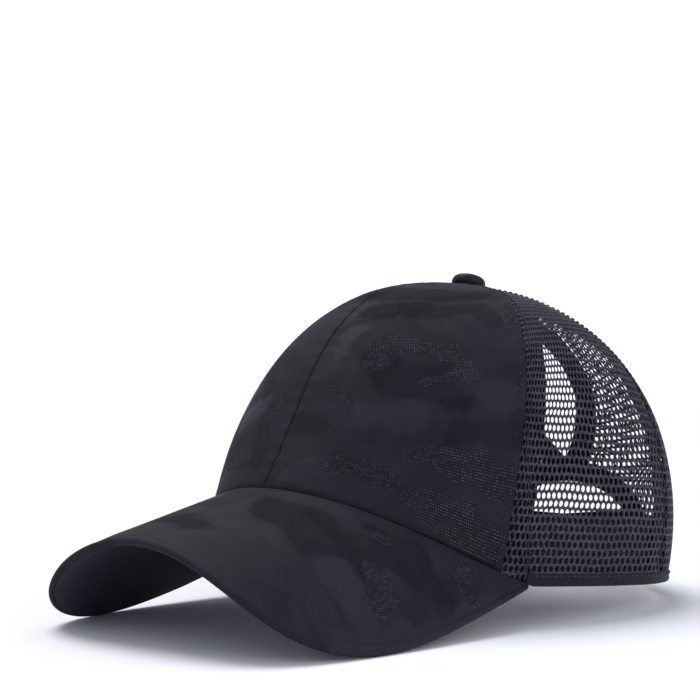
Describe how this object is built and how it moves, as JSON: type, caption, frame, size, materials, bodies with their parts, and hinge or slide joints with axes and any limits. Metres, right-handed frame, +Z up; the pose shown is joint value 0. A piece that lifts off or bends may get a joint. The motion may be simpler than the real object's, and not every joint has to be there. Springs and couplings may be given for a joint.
{
  "type": "trucker cap",
  "caption": "Soft cap with cloth front panels, net side and rear panels, a curved peak, an almond-shaped ponytail opening and a lapped hook-and-loop strap.",
  "frame": {"origin": "middle of the cap's outline in plan, on the surface it rests on", "axes": "+X towards the wearer's left, -Y towards the front of the peak, +Z up; the cap rests on the peak's two lowest edges and the low end of the strap"},
  "size_m": [0.1718, 0.2596, 0.1322],
  "materials": {
    "front_cloth": "black satin-woven cloth with a tonal camouflage of dull and dotted patches",
    "net": "open knitted polyester net with staggered oval holes",
    "tape": "smooth black binding tape with stitched edges",
    "sweat_cloth": "soft black cloth quilted by rows of grey-green stitching",
    "strap_web": "matt black hook-and-loop strap with stitched edges"
  },
  "bodies": {
    "root": {"front_panel_left": "front_cloth", "front_panel_right": "front_cloth", "side_mesh_left": "net", "side_mesh_right": "net", "rear_mesh_left": "net", "rear_mesh_right": "net", "front_seam_tape_left": "tape", "front_seam_tape_right": "tape", "rear_seam_tape_left": "tape", "rear_seam_tape_right": "tape", "rim_band_left": "tape", "rim_band_right": "tape", "ponytail_binding": "tape", "closure_binding": "tape", "sweatband": "sweat_cloth", "peak": "front_cloth", "top_button": "front_cloth", "closure_strap_left": "strap_web", "closure_strap_right": "strap_web"}
  },
  "joints": []
}
